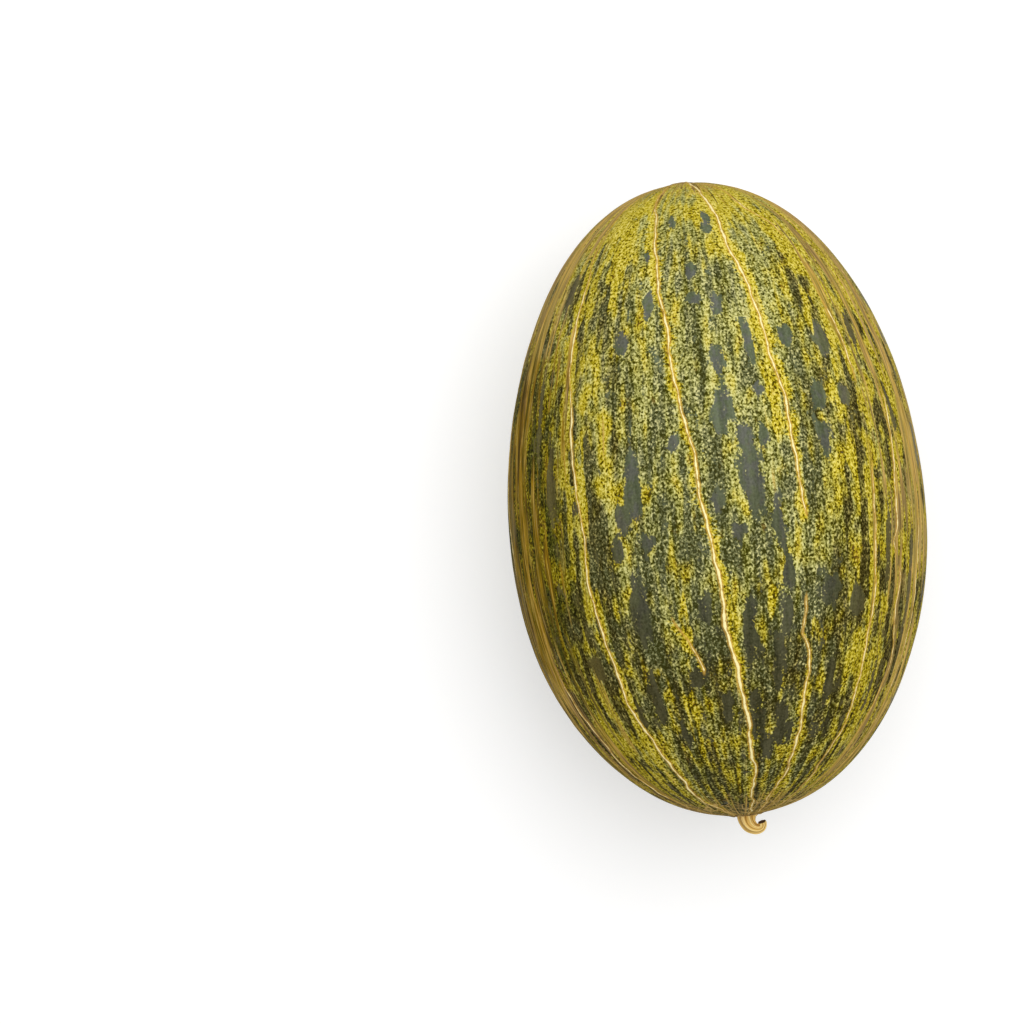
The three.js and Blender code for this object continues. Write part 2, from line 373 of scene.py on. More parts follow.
for count in LUMP_COUNTS:
    drift = 2 * np.sin(chance.uniform(2, 5) * shares + 6 * chance.random())
    lumps += LUMP_HEIGHT * np.sin(count * turns + drift + 6 * chance.random())
for count in WRINKLE_COUNTS:
    drift = 3 * np.sin(chance.uniform(4, 9) * shares + 6 * chance.random())
    lumps += WRINKLE_HEIGHT * np.sin(count * turns + drift + 6 * chance.random())
lumps -= furrow
relief = rib + cork_bump + lumps * np.minimum(1, radii / RIB_FADE) + scar + collar

sway = STALK_SWAY * np.sin(np.pi * np.minimum(shares, 0)) ** 2
reached = radii + relief * outward[:, 0]
places = np.stack([
    reached * np.sin(turns) - sway,
    FRUIT_HALF_LENGTH * shares + relief * outward[:, 1],
    reached * np.cos(turns),
], axis=1)

# It is turned to how it lies, set at the solid's height, and pressed flat where it meets the floor.
places = places @ np.array(Matrix.Rotation(-REST_TILT, 3, "X")).T
fruit_low, fruit_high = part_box("fruit")
lift = fruit_high.z - places[:, 2].max()
slide = fruit_high.y - places[:, 1].max()
places += (0, slide, lift)
height = places[:, 2]
rounded = (height + SPOT_SOFTNESS) ** 2 / (4 * SPOT_SOFTNESS)
pressed = np.where(height < -SPOT_SOFTNESS, 0, np.where(height < SPOT_SOFTNESS, rounded, height))
places[:, 2] = pressed
rind_mesh.vertices.foreach_set("co", places.ravel())

peel = np.stack([
    FRUIT_HALF_WIDTH * np.sin(turns), distances, FRUIT_HALF_WIDTH * np.cos(turns)
], axis=1)
scar_cork = np.exp(-((from_scar / SCAR_CORK_SHARE) ** 4))
stalk_cork = np.exp(-((from_stalk / STALK_CORK_RADIUS) ** 4))
fields = {
    "cork_distance": cork_distance * 1000,
    "cork_strength": cork_strength,
    "corky": np.maximum(scar_cork, stalk_cork),
    "halo": halo,
    "dark": dark,
    "yellow": yellow,
    "tan": tan,
    "golden": golden,
    "stalkward": stalkward,
    "vigour": vigour,
    "flank": flank,
    "calm": calm,
    "painted_left_shade": painted_left_shade,
    "painted_flank_light": painted_flank_light,
    "ends": np.maximum(stalk_end, 0.8 * blossom_end),
}
for name, values in fields.items():
    rind_mesh.attributes.new(name, "FLOAT", "POINT").data.foreach_set("value", values)
line_place = np.stack([from_line, distances, line_numbers * LINE_SPACING], axis=1)
for name, values in (("peel", peel), ("line_place", line_place)):
    rind_mesh.attributes.new(name, "FLOAT_VECTOR", "POINT").data.foreach_set("vector", values.ravel())

# The rind unrolled as one square: round the fruit from left to right, and from end to end upwards.
unrolled = np.stack([
    (turns - column_turns[rings, 0]) / (2 * np.pi), distances / ring_distances[-1]
], axis=1)
corner_vertices = np.zeros(len(rind_mesh.loops), dtype=int)
rind_mesh.loops.foreach_get("vertex_index", corner_vertices)
face_starts = np.zeros(len(rind_mesh.polygons), dtype=int)
rind_mesh.polygons.foreach_get("loop_start", face_starts)
face_sizes = np.diff(face_starts, append=len(corner_vertices))
corners = unrolled[corner_vertices]
corner_columns = columns[corner_vertices]
on_pole = at_middle[corner_vertices]
low = np.minimum.reduceat(np.where(on_pole, column_count, corner_columns), face_starts)
high = np.maximum.reduceat(np.where(on_pole, 0, corner_columns), face_starts)
over_seam = np.repeat(high - low > column_count / 2, face_sizes)
corners[over_seam & (corner_columns == 0) & ~on_pole, 0] = 1
beside_pole = np.add.reduceat(np.where(on_pole, 0, corners[:, 0]), face_starts) / 2
corners[on_pole, 0] = np.repeat(beside_pole, face_sizes)[on_pole]
rind_mesh.uv_layers.new(name="OFBake").data.foreach_set("uv", corners.ravel())
rind_mesh.update()

rind = bpy.data.objects.new("rind", rind_mesh)
bpy.context.scene.collection.objects.link(rind)
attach(rind, "root")
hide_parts("fruit")


# Its finish: a grey-green waxy skin, overgrown with fine worm-like flecks of yellow-green that thin
# out over the dark spots and close up in the yellow bands, with dry cream cork along the lines.
def put(tree, kind, inputs=(), **settings):
    """Adds a shader node. Each input is a plain value or another node's output."""
    node = tree.nodes.new(kind)
    for name, value in settings.items():
        setattr(node, name, value)
    for name, value in dict(inputs).items():
        if isinstance(value, bpy.types.NodeSocket):
            tree.links.new(value, node.inputs[name])
        else:
            node.inputs[name].default_value = value
    return node


def sum_up(tree, operation, first, second=0.0, third=0.0):
    """One sum, product or other operation on up to three values."""
    inputs = {0: first, 1: second, 2: third}
    return put(tree, "ShaderNodeMath", inputs, operation=operation).outputs[0]


def rise(tree, value, low, high, start=0.0, end=1.0):
    """A smooth step from start to end as the value goes from low to high."""
    inputs = {"Value": value, "From Min": low, "From Max": high, "To Min": start, "To Max": end}
    node = put(tree, "ShaderNodeMapRange", inputs, interpolation_type="SMOOTHSTEP")
    return node.outputs["Result"]


def cloud(tree, place, per_metre, detail=2.0, roughness=0.5, distortion=0.0):
    """Soft noise about a middle of a half, with per_metre clouds to a metre."""
    inputs = {
        "Vector": place, "Scale": per_metre, "Detail": detail,
        "Roughness": roughness, "Distortion": distortion,
    }
    return put(tree, "ShaderNodeTexNoise", inputs).outputs[0]


def streaks(tree, place, shortness, *cloud_settings):
    """A cloud drawn out along the fruit. At a shortness of 0.1 it is ten times as long as wide."""
    inputs = {0: place, 1: (1, shortness, 1)}
    drawn_out = put(tree, "ShaderNodeVectorMath", inputs, operation="MULTIPLY").outputs[0]
    return cloud(tree, drawn_out, *cloud_settings)


def mix(tree, share, first, second):
    """The first colour where share is 0, and the second where it is 1."""
    inputs = {0: share, 6: first, 7: second}
    return put(tree, "ShaderNodeMix", inputs, data_type="RGBA").outputs[2]


def colour(red, green, blue):
    """A colour from its screen values of 0 to 255, as the linear values that shaders take."""
    values = np.array([red, green, blue]) / 255
    linear = np.where(values <= 0.04045, values / 12.92, ((values + 0.055) / 1.055) ** 2.4)
    return (*linear.tolist(), 1)


def field(tree, name):
    """One of the fields that the mesh carries."""
    return put(tree, "ShaderNodeAttribute", attribute_name=name).outputs["Fac"]


def ramp(tree, value, stops):
    """Colours along a value, each given as (value, colour)."""
    node = put(tree, "ShaderNodeValToRGB", {"Fac": value})
    points = node.color_ramp.elements
    for share, shade in stops:
        point = points.new(share) if share else points[0]
        point.color = shade
    points.remove(points[-1])  # the white one that every ramp starts with
    return node.outputs["Color"]


# Dry fibres that run along Y, as on old cork and on the dried stalk.
dry_fibres = bpy.data.node_groups.new("dry fibres", "ShaderNodeTree")
for name, kind in (
    ("Place", "NodeSocketVector"), ("Per Metre", "NodeSocketFloat"),
    ("Groove", "NodeSocketColor"), ("Fibre", "NodeSocketColor"), ("Crest", "NodeSocketColor"),
):
    dry_fibres.interface.new_socket(name, in_out="INPUT", socket_type=kind)
dry_fibres.interface.new_socket("Colour", in_out="OUTPUT", socket_type="NodeSocketColor")
dry_fibres.interface.new_socket("Height", in_out="OUTPUT", socket_type="NodeSocketFloat")
given = dry_fibres.nodes.new("NodeGroupInput").outputs
coarse = streaks(dry_fibres, given["Place"], 0.06, given["Per Metre"], 2, 0.6)
finer = sum_up(dry_fibres, "MULTIPLY", given["Per Metre"], 2.6)
fine = streaks(dry_fibres, given["Place"], 0.05, finer, 1, 0.5)
fibre_height = sum_up(dry_fibres, "MULTIPLY", coarse, 0.55)
fibre_height = sum_up(dry_fibres, "MULTIPLY_ADD", fine, 0.45, fibre_height)
to_fibre = rise(dry_fibres, fibre_height, 0.36, 0.5)
to_crest = rise(dry_fibres, fibre_height, 0.5, 0.64)
fibre_colour = mix(dry_fibres, to_fibre, given["Groove"], given["Fibre"])
fibre_colour = mix(dry_fibres, to_crest, fibre_colour, given["Crest"])
put(dry_fibres, "NodeGroupOutput", {"Colour": fibre_colour, "Height": fibre_height})

rind_skin = bpy.data.materials.new("piel de sapo rind")
rind_skin.use_nodes = True
tree = rind_skin.node_tree
surface = tree.nodes["Principled BSDF"]
place = put(tree, "ShaderNodeTexCoord").outputs["Object"]
peel = put(tree, "ShaderNodeAttribute", attribute_name="peel").outputs["Vector"]
line_place = put(tree, "ShaderNodeAttribute", attribute_name="line_place").outputs["Vector"]


def weigh(tree, start, *parts):
    """A sum of clouds about their middle, each given as (value, weight)."""
    total = start
    for value, weight in parts:
        total = sum_up(tree, "MULTIPLY_ADD", sum_up(tree, "ADD", value, -0.5), weight, total)
    return total


# Streaks and clouds, from broad columns down to the single flecks.
columns_noise = streaks(tree, peel, 0.12, 190, 2, 0.6)
narrow_streaks = streaks(tree, peel, 0.06, 380, 2, 0.6)
strings = streaks(tree, peel, 0.3, 240, 2, 0.6)
bands = streaks(tree, peel, 0.04, 150, 1.5, 0.5)
threads = streaks(tree, peel, 0.05, 900, 1, 0.5)
patches = cloud(tree, place, 60, 3, 0.6)
fine_patches = streaks(tree, place, 0.5, 260, 2, 0.6)
soft_patches = streaks(tree, peel, 0.4, 240, 0.8, 0.4)
rust_specks = streaks(tree, place, 0.6, 750, 1, 0.6)
pits = streaks(tree, place, 0.75, 1100, 0, 0.5, 0.3)
dots = streaks(tree, place, 0.85, 1300, 0, 0.5, 0.4)
worms = streaks(tree, place, 0.8, 1180, 0, 0.5, 0.6)
curls = streaks(tree, place, 0.7, 640, 0.6, 0.5, 0.6)
curls = sum_up(tree, "ABSOLUTE", sum_up(tree, "ADD", curls, -0.5))
across_line = put(tree, "ShaderNodeVectorMath", {0: line_place, 1: (0.3, 1, 1)}, operation="MULTIPLY")
comb = cloud(tree, across_line.outputs[0], 1000, 1, 0.5, 0.6)

# Where the yellow patches, the golden bands beside the cork lines and the smooth tan bands of the
# flanks reach.
yellow = weigh(tree, field(tree, "yellow"), (fine_patches, 1.2), (narrow_streaks, 0.6))
yellow = rise(tree, yellow, 0.3, 0.75)
halo = weigh(tree, field(tree, "halo"), (fine_patches, 1.0), (comb, 1.4))
halo = rise(tree, halo, 0.3, 0.75)
rich = sum_up(tree, "MAXIMUM", yellow, halo)
tan = weigh(tree, field(tree, "tan"), (columns_noise, 1.6), (narrow_streaks, 1.6), (threads, 0.5))
tan = rise(tree, tan, 0.42, 0.72)

# How far the flecks have grown over the skin: less in some columns and patches, more in the columns
# between them, and most beside the cork lines. The dark spots stay bare.
broad_growth = weigh(tree, field(tree, "vigour"),
                     (columns_noise, 2.0), (strings, 0.8), (patches, 0.7))
flank_streaks = weigh(tree, 0, (columns_noise, 1.6), (patches, 1.4), (soft_patches, 1.0))
broad_growth = sum_up(tree, "MULTIPLY_ADD", flank_streaks, field(tree, "flank"), broad_growth)
broad_growth = sum_up(tree, "MULTIPLY_ADD", rich, 0.34, broad_growth)
growth = weigh(tree, broad_growth, (narrow_streaks, 1.0), (threads, 0.5))
bare_edge = sum_up(tree, "MULTIPLY_ADD", field(tree, "stalkward"), 0.04, 0.22)
bare_edge = weigh(tree, sum_up(tree, "MAXIMUM", field(tree, "dark"), bare_edge),
                  (fine_patches, 1.3), (strings, -0.6), (narrow_streaks, 0.4), (dots, -0.4))
bare_edge = sum_up(tree, "MULTIPLY_ADD", growth, -0.22, bare_edge)
spot = rise(tree, sum_up(tree, "MULTIPLY_ADD", rich, -0.4, bare_edge), 0.39, 0.6)

# Each fleck is a short pale curl with a dark pit along either side of it.
CURL_PROFILE = [(0, 0.68), (0.032, 0.64), (0.06, 0.42), (0.085, 0.35), (0.13, 0.46), (0.2, 0.54)]
profile = ramp(tree, curls, [(away, (height, height, height, 1)) for away, height in CURL_PROFILE])
fleck_height = weigh(tree, 0.466, (profile, 0.31), (worms, 0.6), (dots, 0.58),
                     (narrow_streaks, 0.3), (threads, 0.2))
grown = sum_up(tree, "MAXIMUM", growth, -0.3)
fleck_height = sum_up(tree, "MULTIPLY_ADD", grown, 0.12, fleck_height)
fleck_height = sum_up(tree, "MULTIPLY_ADD", field(tree, "stalkward"), -0.06, fleck_height)
fleck_height = sum_up(tree, "SUBTRACT", fleck_height, rise(tree, pits, 0.4, 0.32, 0, 0.24))
evened = sum_up(tree, "MULTIPLY", sum_up(tree, "SUBTRACT", 0.5, fleck_height), field(tree, "calm"))
fleck_height = sum_up(tree, "ADD", fleck_height, evened)

# The flecks are fresh green or ripe gold where they have grown well, and the skin is dull grey-green
# or olive where they are thin.
dullness = rise(tree, weigh(tree, broad_growth, (soft_patches, 0.9)), 0.3, -0.2)
hue = sum_up(tree, "MULTIPLY", broad_growth, 0.7)
hue = sum_up(tree, "MULTIPLY_ADD", field(tree, "golden"), 0.5, hue)
hue = weigh(tree, hue, (patches, 1.5), (soft_patches, 2.4), (narrow_streaks, 1.0))
hue = sum_up(tree, "MULTIPLY_ADD", field(tree, "flank"), 0.2, hue)
hue = rise(tree, sum_up(tree, "MULTIPLY_ADD", rich, 0.8, hue), 0.2, 1.2)
olive = sum_up(tree, "MULTIPLY_ADD", field(tree, "flank"), 0.4, field(tree, "golden"))
olive = weigh(tree, olive, (patches, 1.5), (soft_patches, 1.8), (columns_noise, 1.2))
olive = rise(tree, olive, 0.1, 1.1)

# Each palette goes from the bottom of the pits between the flecks to the tops of the flecks.
FLECK_LEVELS = [0.22, 0.355, 0.465, 0.58, 0.71]
FRESH_GREEN = [(60, 58, 0), (104, 102, 34), (150, 148, 80), (186, 182, 106), (214, 210, 142)]
RIPE_GOLD = [(70, 58, 0), (132, 115, 0), (182, 164, 30), (210, 192, 66), (232, 216, 112)]
DULL_GREY = [(54, 54, 16), (78, 80, 44), (104, 106, 70), (150, 148, 98), (208, 202, 142)]
DULL_OLIVE = [(38, 31, 0), (58, 51, 12), (86, 78, 34), (130, 118, 58), (188, 173, 98)]
# The last two palettes are darker copies of the gold and the dull olive, for the painted shade.
SHADED_GOLD = [(44, 36, 0), (82, 70, 0), (120, 106, 4), (164, 148, 26), (208, 194, 84)]
SHADED_DULL = [(26, 26, 0), (48, 48, 2), (72, 72, 12), (106, 104, 34), (160, 154, 78)]


def flecked(palette):
    """The skin in the colours of one palette."""
    shades = [colour(*shade) for shade in palette]
    return ramp(tree, fleck_height, [(0, shades[0]), *zip(FLECK_LEVELS, shades)])


rind_colour = mix(tree, hue, flecked(FRESH_GREEN), flecked(RIPE_GOLD))
dull_skin = mix(tree, olive, flecked(DULL_GREY), flecked(DULL_OLIVE))
rind_colour = mix(tree, dullness, rind_colour, dull_skin)

# The middle of the left flank is painted darker and more saturated, as painted shade, and specks
# of rust lie here and there.
painted_left_shade = weigh(tree, field(tree, "painted_left_shade"), (patches, 1.2), (soft_patches, 1.0), (narrow_streaks, 1.0))
painted_left_shade = rise(tree, painted_left_shade, 0.15, 0.85)
painted_shade_skin = mix(tree, dullness, flecked(SHADED_GOLD), flecked(SHADED_DULL))
rind_colour = mix(tree, painted_left_shade, rind_colour, painted_shade_skin)
rust = rise(tree, weigh(tree, 0.5, (rust_specks, 0.7), (soft_patches, 1.2)), 0.74, 0.92, 0, 0.2)
rind_colour = mix(tree, rust, rind_colour, colour(170, 122, 56))

# The smooth tan rind is dry fibre in stripes of brown, ochre and olive.
TAN_FIBRES_PER_METRE = 650.0
LEFT_SHADE_ON_TAN = (0.6, 0.56, 0.1, 1)  # how much of the tan's colour the painted shade on the left flank keeps
stripes = weigh(tree, 0.5, (bands, 1.3), (threads, 0.5), (narrow_streaks, 0.6))
band_colour = ramp(tree, stripes, [
    (0, colour(92, 78, 34)), (0.36, colour(96, 80, 40)), (0.42, colour(120, 96, 64)),
    (0.48, colour(152, 122, 62)), (0.53, colour(206, 166, 80)), (0.58, colour(176, 146, 50)),
    (0.64, colour(136, 118, 36)), (0.72, colour(112, 98, 36)),
])
# Painted light: on the lit flanks the tan bands are mixed towards a pale gold.
painted_flank_light = sum_up(tree, "MULTIPLY", field(tree, "painted_flank_light"), 0.28)
band_colour = mix(tree, painted_flank_light, band_colour, colour(238, 204, 120))
# Painted shade: on the left flank the tan bands are darkened.
shaded = {0: 1.0, 6: band_colour, 7: LEFT_SHADE_ON_TAN}
shaded = put(tree, "ShaderNodeMix", shaded, data_type="RGBA", blend_type="MULTIPLY").outputs[2]
band_colour = mix(tree, painted_left_shade, band_colour, shaded)
tan_skin = put(tree, "ShaderNodeGroup", {
    "Place": peel,
    "Per Metre": TAN_FIBRES_PER_METRE,
    "Groove": mix(tree, 0.42, band_colour, colour(60, 44, 14)),
    "Fibre": band_colour,
    "Crest": mix(tree, 0.38, band_colour, colour(244, 206, 118)),
}, node_tree=dry_fibres)
rind_colour = mix(tree, tan, rind_colour, tan_skin.outputs["Colour"])

# The bare spots are waxy. In the middle they are slate and grey-green, their own grey-green with a
# painted sheen on it; towards the stalk they are darker, without it; on the flanks they are olive.
# Few of them show on the tan rind.
mottle = weigh(tree, 0.5, (narrow_streaks, 1.6), (dots, 0.9), (fine_patches, 1.0))
# Painted sheen: these slate colours are the spots' own grey-green, lightened and blued by a painted
# reflection.
slate_with_painted_sheen = mix(tree, mottle, colour(82, 84, 74), colour(112, 114, 104))
green_slate_with_painted_sheen = mix(tree, mottle, colour(70, 78, 52), colour(106, 114, 88))
spot_with_painted_sheen = mix(tree, rise(tree, fine_patches, 0.42, 0.58), slate_with_painted_sheen, green_slate_with_painted_sheen)
waxy_dark = mix(tree, mottle, colour(40, 39, 16), colour(84, 81, 56))
waxy_olive = mix(tree, mottle, colour(66, 56, 14), colour(110, 98, 42))
spot_colour = mix(tree, field(tree, "stalkward"), spot_with_painted_sheen, waxy_dark)
on_flank = sum_up(tree, "MULTIPLY", field(tree, "flank"), 0.8)
spot_colour = mix(tree, on_flank, spot_colour, waxy_olive)
off_tan = rise(tree, field(tree, "tan"), 0.75, 0.45, 0.35, 1)
spot = sum_up(tree, "MULTIPLY", spot, off_tan)
rind_colour = mix(tree, spot, rind_colour, spot_colour)

# Dry cork: along the lines, on the scar, and in a fine net round both ends.
cork_grain = cloud(tree, place, 600, 2, 0.6)
cork_edge = sum_up(tree, "MULTIPLY_ADD", cork_grain, 0.6, field(tree, "cork_distance"))
cork_width = sum_up(tree, "MULTIPLY_ADD", field(tree, "cork_strength"), 0.8, 0.1)
cork = sum_up(tree, "SUBTRACT", cork_width, cork_edge)
line_open = rise(tree, field(tree, "cork_strength"), 0.1, 0.4)
cork_rim = sum_up(tree, "MULTIPLY", rise(tree, cork, -0.8, 0.1, 0, 0.75), line_open)
cork = rise(tree, cork, 0.05, 0.3)
rind_colour = mix(tree, cork_rim, rind_colour, colour(204, 160, 66))
rind_colour = mix(tree, cork, rind_colour, colour(255, 240, 176))

# The net is the walls between crooked cells, each about 4 mm wide.
NET_BENDS_PER_METRE = 300.0
NET_BEND = 0.002
NET_CELLS_PER_METRE = 230.0
bends = {"Vector": place, "Scale": NET_BENDS_PER_METRE, "Detail": 1.0}
bends = put(tree, "ShaderNodeTexNoise", bends).outputs["Color"]
bent = {0: bends, 1: (NET_BEND, NET_BEND, NET_BEND), 2: place}
bent = put(tree, "ShaderNodeVectorMath", bent, operation="MULTIPLY_ADD").outputs[0]
cells = {"Vector": bent, "Scale": NET_CELLS_PER_METRE}
cells = put(tree, "ShaderNodeTexVoronoi", cells, feature="DISTANCE_TO_EDGE").outputs["Distance"]
net_place = sum_up(tree, "MULTIPLY_ADD", fine_patches, 1.2, field(tree, "ends"))
net = sum_up(tree, "MULTIPLY", rise(tree, cells, 0.07, 0.02), rise(tree, net_place, 0.95, 1.5))
rind_colour = mix(tree, sum_up(tree, "MULTIPLY", net, 0.8), rind_colour, colour(206, 172, 100))

# On the scar and round the stalk the cork is closed, with a dark edge.
corky = weigh(tree, field(tree, "corky"), (cork_grain, 0.5))
corky_colour = mix(tree, cork_grain, colour(150, 124, 62), colour(222, 190, 124))
rind_colour = mix(tree, rise(tree, corky, 0.05, 0.3), rind_colour, colour(116, 88, 42))
rind_colour = mix(tree, rise(tree, corky, 0.4, 0.75), rind_colour, corky_colour)

# Cork and flecks are matt and stand a little proud of the waxy skin of the spots. Each relief is in
# millimetres.
FLECK_RELIEF = 0.03
CORK_RELIEF = 0.06
CORK_GRAIN_RELIEF = 0.1
STREAK_RELIEF = 0.12
FIBRE_RELIEF = 0.06
FLECK_ROUGHNESS = 0.78
WAX_ROUGHNESS = 0.42
dry = sum_up(tree, "MAXIMUM", cork, rise(tree, corky, 0.2, 0.6))
dry = sum_up(tree, "MAXIMUM", dry, net)
dry_grain = sum_up(tree, "MULTIPLY", dry, cork_grain)
height_in_mm = rise(tree, fleck_height, 0.38, 0.58, 0, FLECK_RELIEF)
for part, relief_in_mm in (
    (dry, CORK_RELIEF), (dry_grain, CORK_GRAIN_RELIEF), (narrow_streaks, STREAK_RELIEF),
    (tan_skin.outputs["Height"], FIBRE_RELIEF),
):
    height_in_mm = sum_up(tree, "MULTIPLY_ADD", part, relief_in_mm, height_in_mm)
roughness = rise(tree, spot, 0, 1, FLECK_ROUGHNESS, WAX_ROUGHNESS)
bump = put(tree, "ShaderNodeBump", {"Height": height_in_mm, "Distance": 0.001, "Strength": 1.0})

tree.links.new(rind_colour, surface.inputs["Base Color"])
tree.links.new(roughness, surface.inputs["Roughness"])
tree.links.new(bump.outputs["Normal"], surface.inputs["Normal"])
surface.inputs["Specular IOR Level"].default_value = 0.04
rind_mesh.materials.append(rind_skin)

# The stalk: the stub that the fruit hung by, cut from the vine and left to dry. It shrinks to hard
# woody ridges with grooves between them, spreads a foot on the fruit's end and hooks sideways.
STALK_HOOK = np.array([
    (0.0023, 0.0025, 0.0), (-0.0016, -0.0061, 0.0003),
    (0.0084, -0.0081, 0.0009), (0.0070, -0.0033, 0.0024),
])  # points of its middle line as a Bezier curve, from the middle of the fruit's end
STALK_RADII = [
    (0, 4.6), (0.1, 4.3), (0.22, 3.65), (0.34, 3.35), (0.5, 2.85),
    (0.66, 2.25), (0.8, 1.75), (0.9, 1.6), (1, 1.72),
]  # in millimetres, at shares of its length
STALK_FOOT_SHARE = 0.22  # of its length, over which the ridges grow into the toes of its foot
STALK_RIDGES = 7
STALK_RIDGE_SHARE = 0.07  # a ridge's height as a share of the radius
TOE_SHARE = 0.06  # how much more that is at the foot
FINE_RIDGES = 23
FINE_RIDGE_SHARE = 0.012
KNOT_SHARE = 0.02
STALK_TWIST = math.radians(35)
STALK_SIDES = 90
STALK_RINGS = 90
ROUTE_POINTS = 400
GRAIN_RADIUS = 0.0036  # of the drum on which the wood's grain is laid out
# The cut end, each ring as (how far past the end, its share of the end's radius).
CUT_END = [(0.0002, 0.93), (0.0001, 0.8), (-0.0003, 0.68), (-0.0009, 0.56), (-0.0012, 0.3)]

bm = bmesh.new()
bmesh.ops.create_cone(
    bm, segments=STALK_SIDES, radius1=1, radius2=1, depth=1, cap_ends=True, cap_tris=True
)
staves = [edge for edge in bm.edges if abs(edge.verts[0].co.z - edge.verts[1].co.z) > 0.5]
level_count = STALK_RINGS + len(CUT_END)
bmesh.ops.subdivide_edges(bm, edges=staves, cuts=level_count - 1, use_grid_fill=True)
for face in bm.faces:
    face.smooth = True
stalk_mesh = bpy.data.meshes.new("stalk_stub")
bm.to_mesh(stalk_mesh)
bm.free()

drum = read_places(stalk_mesh)
levels = np.round((drum[:, 2] + 0.5) * level_count).astype(int)
angles = np.arctan2(drum[:, 0], drum[:, 1])
in_middle = np.hypot(drum[:, 0], drum[:, 1]) < 0.5

times = np.linspace(0, 1, ROUTE_POINTS)[:, None]
weights = np.hstack([
    (1 - times) ** 3, 3 * (1 - times) ** 2 * times, 3 * (1 - times) * times**2, times**3
])
route = weights @ STALK_HOOK
route_lengths = np.concatenate([[0], np.cumsum(np.linalg.norm(np.diff(route, axis=0), axis=1))])
stalk_length = route_lengths[-1]
level_alongs = np.minimum(np.arange(level_count + 1) / STALK_RINGS, 1)
past_end = np.zeros(level_count + 1)
widths = np.ones(level_count + 1)
past_end[STALK_RINGS + 1:], widths[STALK_RINGS + 1:] = np.array(CUT_END).T
level_places = np.stack([
    np.interp(level_alongs * stalk_length, route_lengths, route[:, axis]) for axis in range(3)
], axis=1)
level_ways = np.gradient(level_places[: STALK_RINGS + 1], axis=0)
level_ways = np.vstack([level_ways] + [level_ways[-1:]] * len(CUT_END))
level_ways /= np.linalg.norm(level_ways, axis=1, keepdims=True)
level_sides = np.cross(level_ways, (0, 0, 1))
level_sides /= np.linalg.norm(level_sides, axis=1, keepdims=True)
level_ups = np.cross(level_sides, level_ways)

alongs = level_alongs[levels]
foot = np.exp(-((alongs / STALK_FOOT_SHARE) ** 2))
turned = angles + STALK_TWIST * alongs
ridge = np.cos(STALK_RIDGES * turned + 0.5 * np.sin(2 * angles))
fine_ridge = np.cos(FINE_RIDGES * turned + 1.7 * np.sin(3 * angles + 9 * alongs))
knots = np.sin(11 * alongs + 2 * angles) * np.sin(17 * alongs - angles)
swell = 1 + (STALK_RIDGE_SHARE + TOE_SHARE * foot) * ridge
swell += FINE_RIDGE_SHARE * fine_ridge + KNOT_SHARE * knots
radius_shares, radii_in_mm = np.array(STALK_RADII).T
stalk_radii = np.interp(alongs, radius_shares, radii_in_mm) / 1000
reached = np.where(in_middle, 0, stalk_radii * swell * widths[levels])[:, None]
places = level_places[levels] + level_ways[levels] * past_end[levels, None]
places += level_sides[levels] * np.sin(angles)[:, None] * reached
places += level_ups[levels] * np.cos(angles)[:, None] * reached
places -= (0, FRUIT_HALF_LENGTH, 0)
places = places @ np.array(Matrix.Rotation(-REST_TILT, 3, "X")).T + (0, slide, lift)
stalk_mesh.vertices.foreach_set("co", places.ravel())

grain = np.stack([
    GRAIN_RADIUS * np.sin(turned),
    alongs * stalk_length + past_end[levels],
    GRAIN_RADIUS * np.cos(turned),
], axis=1)
stalk_mesh.attributes.new("grain", "FLOAT_VECTOR", "POINT").data.foreach_set("vector", grain.ravel())
stalk_fields = {
    "ridge": ridge * 0.7 + fine_ridge * 0.3,
    "cut": grade(levels, STALK_RINGS, STALK_RINGS + 2),
}
for name, values in stalk_fields.items():
    stalk_mesh.attributes.new(name, "FLOAT", "POINT").data.foreach_set("value", values)
stalk_mesh.update()

stalk_stub = bpy.data.objects.new("stalk_stub", stalk_mesh)
bpy.context.scene.collection.objects.link(stalk_stub)
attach(stalk_stub, "root")
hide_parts("stalk")

# Its finish: golden tan wood, pale along the ridges' crests, brown in the grooves, dark at the cut.
dry_wood = bpy.data.materials.new("dry stalk")
dry_wood.use_nodes = True
tree = dry_wood.node_tree
surface = tree.nodes["Principled BSDF"]
grain = put(tree, "ShaderNodeAttribute", attribute_name="grain").outputs["Vector"]
WOOD_FIBRES_PER_METRE = 900.0
WOOD_FIBRE_RELIEF = 0.22  # in millimetres
fibres = put(tree, "ShaderNodeGroup", {
    "Place": grain,
    "Per Metre": WOOD_FIBRES_PER_METRE,
    "Groove": colour(178, 132, 50),
    "Fibre": colour(226, 184, 94),
    "Crest": colour(248, 216, 138),
}, node_tree=dry_fibres)
blotches = streaks(tree, grain, 0.4, 420, 2, 0.6)
crest = sum_up(tree, "MULTIPLY_ADD", blotches, 0.8, field(tree, "ridge"))
on_crest = rise(tree, crest, 0.5, 1.3, 0, 0.8)
in_groove = rise(tree, crest, 0.1, -0.5, 0, 0.75)
wood_colour = mix(tree, on_crest, fibres.outputs["Colour"], colour(252, 228, 156))
wood_colour = mix(tree, in_groove, wood_colour, colour(150, 104, 30))
cut_grain = cloud(tree, grain, 1500, 2, 0.6)
cut_colour = mix(tree, cut_grain, colour(40, 26, 14), colour(96, 66, 36))
cut = rise(tree, sum_up(tree, "MULTIPLY_ADD", cut_grain, 0.5, field(tree, "cut")), 0.5, 1.0)
wood_colour = mix(tree, cut, wood_colour, cut_colour)
roughness = rise(tree, fibres.outputs["Height"], 0.35, 0.65, 0.85, 0.62)
height_in_mm = sum_up(tree, "MULTIPLY", fibres.outputs["Height"], WOOD_FIBRE_RELIEF)
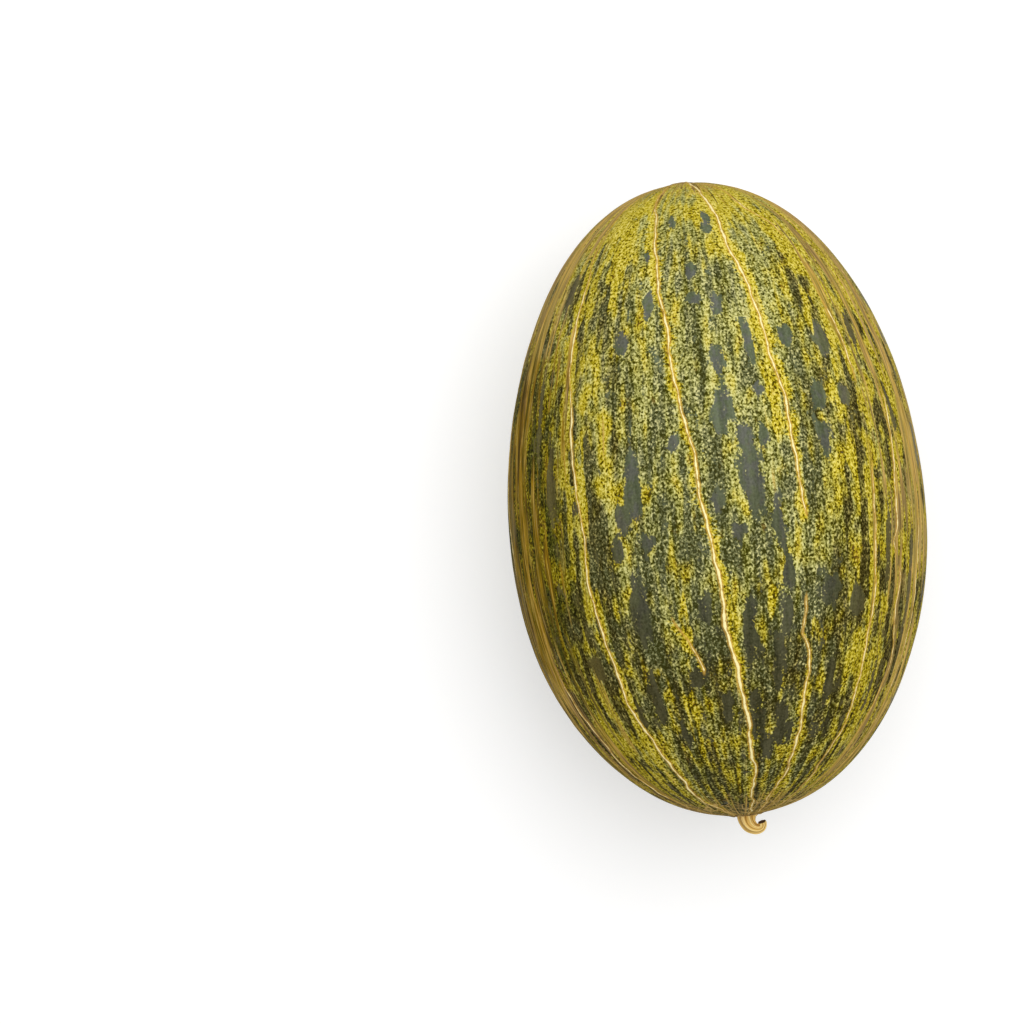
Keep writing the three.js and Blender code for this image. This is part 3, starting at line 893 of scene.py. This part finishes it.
bump = put(tree, "ShaderNodeBump", {"Height": height_in_mm, "Distance": 0.001, "Strength": 1.0})
tree.links.new(wood_colour, surface.inputs["Base Color"])
tree.links.new(roughness, surface.inputs["Roughness"])
tree.links.new(bump.outputs["Normal"], surface.inputs["Normal"])
surface.inputs["Specular IOR Level"].default_value = 0.3
stalk_mesh.materials.append(dry_wood)

# The room: a pale floor, an even white sky and one broad soft lamp high beyond the blossom end.
# The camera looks straight down, with the melon right of its middle and leaning a little left.
CAMERA_HEIGHT = 1.1  # above the melon's middle
VIEW_WIDTH = 0.4084  # of what the camera sees at that height
SENSOR_WIDTH = 36  # in millimetres
LEAN = math.radians(5.06)
MELON_RIGHT = 0.0806  # how far right of the view's middle the melon's middle is
MELON_UP = 0.0061  # and how far above it
FLOOR_HALF_WIDTH = 6
FLOOR_GREY = 0.7
FLOOR_GLOW = 0.4  # what the camera and mirrors see it shine with, so that it looks white
SKY_STRENGTH = 0.5
LAMP_WIDTH = 1.3
LAMP_WATTS = 17
LAMP_PLACE = (0.2, 0.35, 1.5)
LAMP_AIM = (0, 0, 0.08)

floor_mesh = bpy.data.meshes.new("floor")
bm = bmesh.new()
bmesh.ops.create_grid(bm, x_segments=1, y_segments=1, size=FLOOR_HALF_WIDTH)
bm.to_mesh(floor_mesh)
bm.free()
floor = bpy.data.objects.new("floor", floor_mesh)
bpy.context.scene.collection.objects.link(floor)
floor_paint = bpy.data.materials.new("white floor")
floor_paint.use_nodes = True
tree = floor_paint.node_tree
paint = tree.nodes["Principled BSDF"]
paint.inputs["Base Color"].default_value = (FLOOR_GREY, FLOOR_GREY, FLOOR_GREY, 1)
paint.inputs["Roughness"].default_value = 0.9
paint.inputs["Emission Color"].default_value = (1, 1, 1, 1)
light_path = put(tree, "ShaderNodeLightPath")
seen = light_path.outputs["Is Camera Ray"]
for kind in ("Is Glossy Ray", "Is Transmission Ray"):
    seen = sum_up(tree, "MAXIMUM", seen, light_path.outputs[kind])
tree.links.new(sum_up(tree, "MULTIPLY", seen, FLOOR_GLOW), paint.inputs["Emission Strength"])
floor_mesh.materials.append(floor_paint)

world = bpy.data.worlds.new("sky")
world.use_nodes = True
world.node_tree.nodes["Background"].inputs["Color"].default_value = (1, 1, 1, 1)
world.node_tree.nodes["Background"].inputs["Strength"].default_value = SKY_STRENGTH
bpy.context.scene.world = world

lamp_data = bpy.data.lights.new("soft lamp", "AREA")
lamp_data.shape = "SQUARE"
lamp_data.size = LAMP_WIDTH
lamp_data.energy = LAMP_WATTS
lamp = bpy.data.objects.new("soft lamp", lamp_data)
lamp.location = LAMP_PLACE
lamp.rotation_euler = (Vector(LAMP_AIM) - lamp.location).to_track_quat("-Z", "Y").to_euler()
bpy.context.scene.collection.objects.link(lamp)

middle = (fruit_low + fruit_high) / 2
view_right = Vector((math.cos(LEAN), -math.sin(LEAN), 0))
view_up = Vector((math.sin(LEAN), math.cos(LEAN), 0))
camera_data = bpy.data.cameras.new("camera")
camera_data.sensor_width = SENSOR_WIDTH
camera_data.lens = SENSOR_WIDTH * CAMERA_HEIGHT / VIEW_WIDTH
camera = bpy.data.objects.new("camera", camera_data)
camera.location = middle - view_right * MELON_RIGHT - view_up * MELON_UP
camera.location.z = middle.z + CAMERA_HEIGHT
camera.rotation_euler.z = -LEAN
bpy.context.scene.collection.objects.link(camera)
bpy.context.scene.camera = camera
bpy.context.scene.view_settings.view_transform = "Standard"
